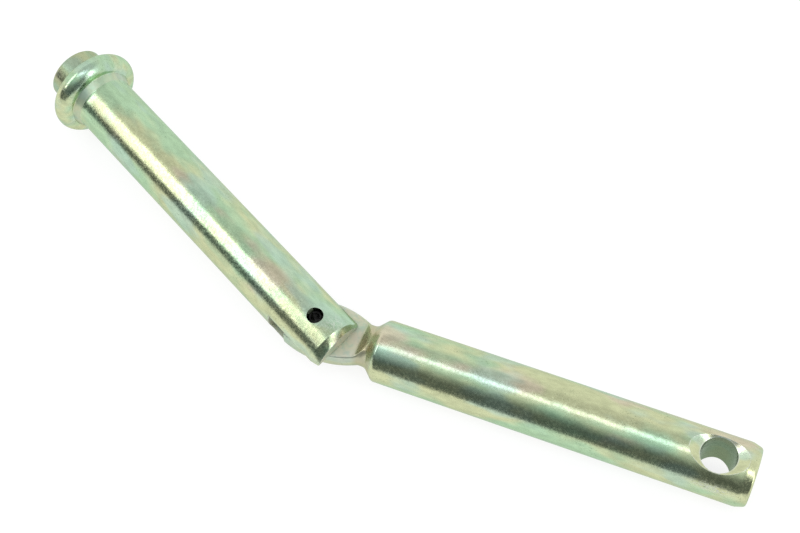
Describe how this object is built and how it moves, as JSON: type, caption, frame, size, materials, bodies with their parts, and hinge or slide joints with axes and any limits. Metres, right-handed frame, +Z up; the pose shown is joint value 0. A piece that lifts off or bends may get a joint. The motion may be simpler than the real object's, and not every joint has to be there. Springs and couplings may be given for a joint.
{
  "type": "folding hinge pin",
  "caption": "Round steel pin in two halves joined by a knuckle, with a collar at one end and a countersunk cross hole at the other.",
  "frame": {"origin": "on the floor under the middle of the part's box, with the pin bent as in the picture", "axes": "+X along the tail half towards its drilled end; +Y towards the side that the head half bends to; +Z up from the floor"},
  "size_m": [0.2888, 0.0918, 0.034],
  "materials": {
    "zinc_plate": "zinc plated with a thin yellow-green passivate, satin",
    "black_spring_steel": "black oxide, matte"
  },
  "bodies": {
    "head_half": {"head_rod": "zinc_plate", "roll_pin": "black_spring_steel"},
    "tail_half": {"tail_rod": "zinc_plate"}
  },
  "joints": [
    {"name": "knuckle_hinge", "type": "hinge", "parent": "head_half", "child": "tail_half", "pos_m": [-0.01085, -0.03129, 0.0111], "axis": [0, -0.0951, 0.9955], "range_deg": [-137.7, 82.3]}
  ]
}
